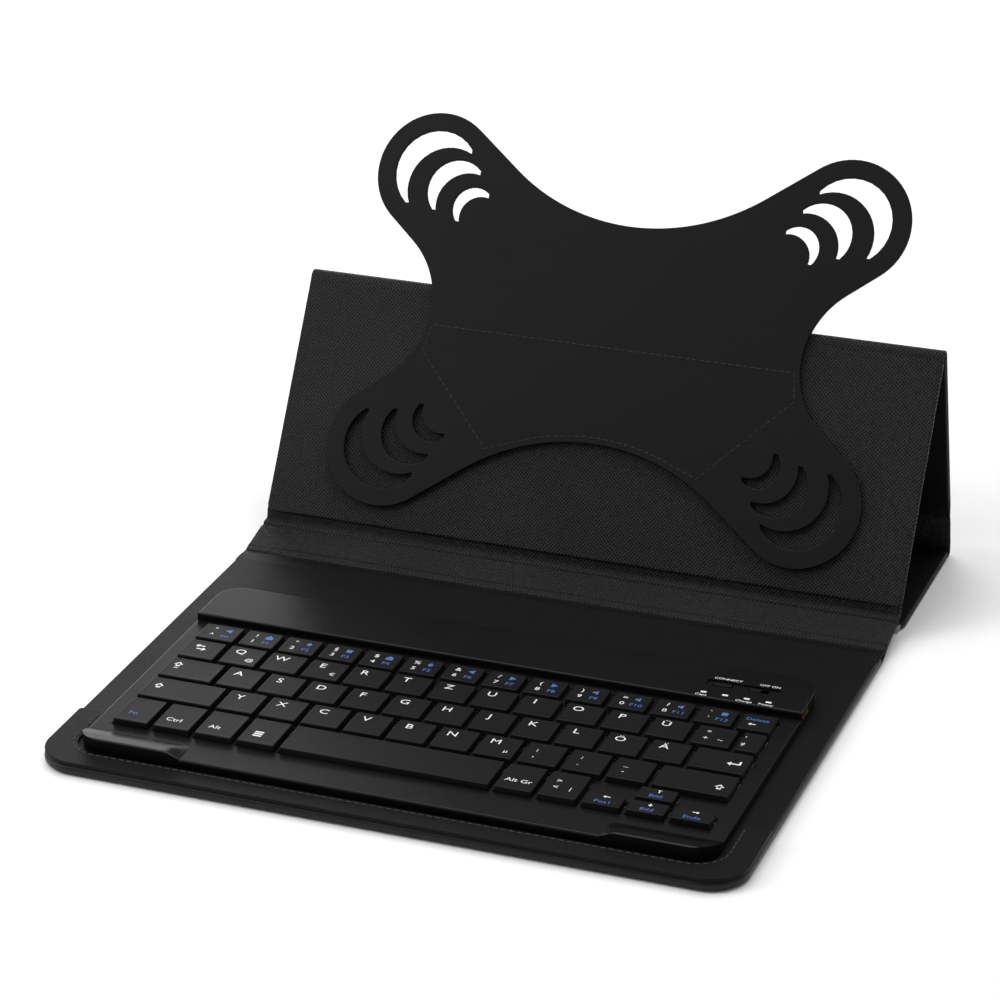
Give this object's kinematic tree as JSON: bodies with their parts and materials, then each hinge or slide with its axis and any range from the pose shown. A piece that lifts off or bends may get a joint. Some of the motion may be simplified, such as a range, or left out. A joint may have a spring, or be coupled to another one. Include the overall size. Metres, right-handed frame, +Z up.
{
  "type": "tablet keyboard case",
  "caption": "Folding tablet case with a thin wireless keyboard, a fold-up stand and a stretch holder with slotted ears for the tablet's corners.",
  "frame": {"origin": "on the table, under the middle of the object's box with the stand set up", "axes": "+X to the keyboard's right, +Y from the user towards the stand, +Z up"},
  "size_m": [0.27, 0.3025, 0.1609],
  "materials": {
    "cover": "smooth matte artificial leather",
    "grained": "cross-hatched artificial leather",
    "greyboard": "grey paperboard",
    "holder": "matte",
    "shell": "satin",
    "keycap": "fine satin",
    "membrane": "film",
    "circuit": "solder mask",
    "cell": "foil",
    "plated": "plated",
    "steel": "plain",
    "light_guide": "clear"
  },
  "bodies": {
    "base_case": {"base_skin": "cover", "base_board": "greyboard", "base_catch_plate": "steel", "base_lining": "cover", "front_band": "cover", "keyboard_top_case": "shell", "keyboard_bottom_case": "shell", "membrane_sheet": "membrane", "circuit_board": "circuit", "battery": "cell", "usb_socket": "plated", "led_light_guide": "light_guide"},
    "spine": {"spine_strip": "grained"},
    "display_panel": {"display_cover": "cover", "display_board": "greyboard", "display_facing": "grained", "display_catch_plate": "steel", "tablet_holder": "holder"},
    "leg_panel": {"leg_cover": "cover", "leg_board": "greyboard", "leg_facing": "grained"},
    "closure_strip": {"closure_strip": "grained"},
    "closure_flap": {"flap_cover": "cover", "flap_board": "greyboard", "flap_facing": "grained", "flap_magnet_left": "steel", "flap_magnet_right": "steel"},
    "connect_button": {"connect_button": "keycap"},
    "power_switch": {"power_switch": "keycap"},
    "number_row_keys": {"number_row_keys": "keycap"},
    "top_row_keys": {"top_row_keys": "keycap"},
    "home_row_keys": {"home_row_keys": "keycap"},
    "key_shift_left": {"key_shift_left": "keycap"},
    "key_y": {"key_y": "keycap"},
    "key_x": {"key_x": "keycap"},
    "key_c": {"key_c": "keycap"},
    "key_v": {"key_v": "keycap"},
    "key_b": {"key_b": "keycap"},
    "key_n": {"key_n": "keycap"},
    "key_m": {"key_m": "keycap"},
    "key_comma": {"key_comma": "keycap"},
    "key_period": {"key_period": "keycap"},
    "key_hyphen": {"key_hyphen": "keycap"},
    "key_shift_right": {"key_shift_right": "keycap"},
    "key_fn": {"key_fn": "keycap"},
    "key_ctrl": {"key_ctrl": "keycap"},
    "key_alt": {"key_alt": "keycap"},
    "key_menu": {"key_menu": "keycap"},
    "key_space": {"key_space": "keycap"},
    "key_alt_gr": {"key_alt_gr": "keycap"},
    "key_bracket": {"key_bracket": "keycap"},
    "key_left": {"key_left": "keycap"},
    "key_down": {"key_down": "keycap"},
    "key_up": {"key_up": "keycap"},
    "key_right": {"key_right": "keycap"}
  },
  "joints": [
    {"name": "spine_hinge", "type": "hinge", "parent": "base_case", "child": "spine", "pos_m": [0, 0.03694, 0.0044], "axis": [1, 0, 0], "range_deg": [-13, 77]},
    {"name": "crease_hinge", "type": "hinge", "parent": "spine", "child": "display_panel", "pos_m": [0, 0.0573, 0.0091], "axis": [1, 0, 0], "range_deg": [-45, 45]},
    {"name": "fold_hinge", "type": "hinge", "parent": "display_panel", "child": "leg_panel", "pos_m": [0, 0.11496, 0.09571], "axis": [1, 0, 0], "range_deg": [0, 134]},
    {"name": "strip_hinge", "type": "hinge", "parent": "leg_panel", "child": "closure_strip", "pos_m": [0, 0.13533, 0.02019], "axis": [-1, 0, 0], "range_deg": [-94, 0]},
    {"name": "flap_hinge", "type": "hinge", "parent": "closure_strip", "child": "closure_flap", "pos_m": [0, 0.13872, 0.0015], "axis": [-1, 0, 0], "range_deg": [-190, 0]},
    {"name": "power_switch_slide", "type": "slide", "parent": "base_case", "child": "power_switch", "axis": [1, 0, 0], "range_m": [0, 0.0025]},
    {"name": "connect_button_press", "type": "slide", "parent": "base_case", "child": "connect_button", "axis": [0, 0, -1], "range_m": [0, 0.0006], "stiffness_N_per_m": 400},
    {"name": "number_row_keys_press", "type": "slide", "parent": "base_case", "child": "number_row_keys", "axis": [0, 0, -1], "range_m": [0, 0.0014], "stiffness_N_per_m": 900},
    {"name": "top_row_keys_press", "type": "slide", "parent": "base_case", "child": "top_row_keys", "axis": [0, 0, -1], "range_m": [0, 0.0014], "stiffness_N_per_m": 900},
    {"name": "home_row_keys_press", "type": "slide", "parent": "base_case", "child": "home_row_keys", "axis": [0, 0, -1], "range_m": [0, 0.0014], "stiffness_N_per_m": 900},
    {"name": "key_shift_left_press", "type": "slide", "parent": "base_case", "child": "key_shift_left", "axis": [0, 0, -1], "range_m": [0, 0.0014], "stiffness_N_per_m": 250},
    {"name": "key_y_press", "type": "slide", "parent": "base_case", "child": "key_y", "axis": [0, 0, -1], "range_m": [0, 0.0014], "stiffness_N_per_m": 250},
    {"name": "key_x_press", "type": "slide", "parent": "base_case", "child": "key_x", "axis": [0, 0, -1], "range_m": [0, 0.0014], "stiffness_N_per_m": 250},
    {"name": "key_c_press", "type": "slide", "parent": "base_case", "child": "key_c", "axis": [0, 0, -1], "range_m": [0, 0.0014], "stiffness_N_per_m": 250},
    {"name": "key_v_press", "type": "slide", "parent": "base_case", "child": "key_v", "axis": [0, 0, -1], "range_m": [0, 0.0014], "stiffness_N_per_m": 250},
    {"name": "key_b_press", "type": "slide", "parent": "base_case", "child": "key_b", "axis": [0, 0, -1], "range_m": [0, 0.0014], "stiffness_N_per_m": 250},
    {"name": "key_n_press", "type": "slide", "parent": "base_case", "child": "key_n", "axis": [0, 0, -1], "range_m": [0, 0.0014], "stiffness_N_per_m": 250},
    {"name": "key_m_press", "type": "slide", "parent": "base_case", "child": "key_m", "axis": [0, 0, -1], "range_m": [0, 0.0014], "stiffness_N_per_m": 250},
    {"name": "key_comma_press", "type": "slide", "parent": "base_case", "child": "key_comma", "axis": [0, 0, -1], "range_m": [0, 0.0014], "stiffness_N_per_m": 250},
    {"name": "key_period_press", "type": "slide", "parent": "base_case", "child": "key_period", "axis": [0, 0, -1], "range_m": [0, 0.0014], "stiffness_N_per_m": 250},
    {"name": "key_hyphen_press", "type": "slide", "parent": "base_case", "child": "key_hyphen", "axis": [0, 0, -1], "range_m": [0, 0.0014], "stiffness_N_per_m": 250},
    {"name": "key_shift_right_press", "type": "slide", "parent": "base_case", "child": "key_shift_right", "axis": [0, 0, -1], "range_m": [0, 0.0014], "stiffness_N_per_m": 250},
    {"name": "key_fn_press", "type": "slide", "parent": "base_case", "child": "key_fn", "axis": [0, 0, -1], "range_m": [0, 0.0014], "stiffness_N_per_m": 250},
    {"name": "key_ctrl_press", "type": "slide", "parent": "base_case", "child": "key_ctrl", "axis": [0, 0, -1], "range_m": [0, 0.0014], "stiffness_N_per_m": 250},
    {"name": "key_alt_press", "type": "slide", "parent": "base_case", "child": "key_alt", "axis": [0, 0, -1], "range_m": [0, 0.0014], "stiffness_N_per_m": 250},
    {"name": "key_menu_press", "type": "slide", "parent": "base_case", "child": "key_menu", "axis": [0, 0, -1], "range_m": [0, 0.0014], "stiffness_N_per_m": 250},
    {"name": "key_space_press", "type": "slide", "parent": "base_case", "child": "key_space", "axis": [0, 0, -1], "range_m": [0, 0.0014], "stiffness_N_per_m": 250},
    {"name": "key_alt_gr_press", "type": "slide", "parent": "base_case", "child": "key_alt_gr", "axis": [0, 0, -1], "range_m": [0, 0.0014], "stiffness_N_per_m": 250},
    {"name": "key_bracket_press", "type": "slide", "parent": "base_case", "child": "key_bracket", "axis": [0, 0, -1], "range_m": [0, 0.0014], "stiffness_N_per_m": 250},
    {"name": "key_left_press", "type": "slide", "parent": "base_case", "child": "key_left", "axis": [0, 0, -1], "range_m": [0, 0.0014], "stiffness_N_per_m": 250},
    {"name": "key_down_press", "type": "slide", "parent": "base_case", "child": "key_down", "axis": [0, 0, -1], "range_m": [0, 0.0014], "stiffness_N_per_m": 250},
    {"name": "key_up_press", "type": "slide", "parent": "base_case", "child": "key_up", "axis": [0, 0, -1], "range_m": [0, 0.0014], "stiffness_N_per_m": 250},
    {"name": "key_right_press", "type": "slide", "parent": "base_case", "child": "key_right", "axis": [0, 0, -1], "range_m": [0, 0.0014], "stiffness_N_per_m": 250}
  ]
}
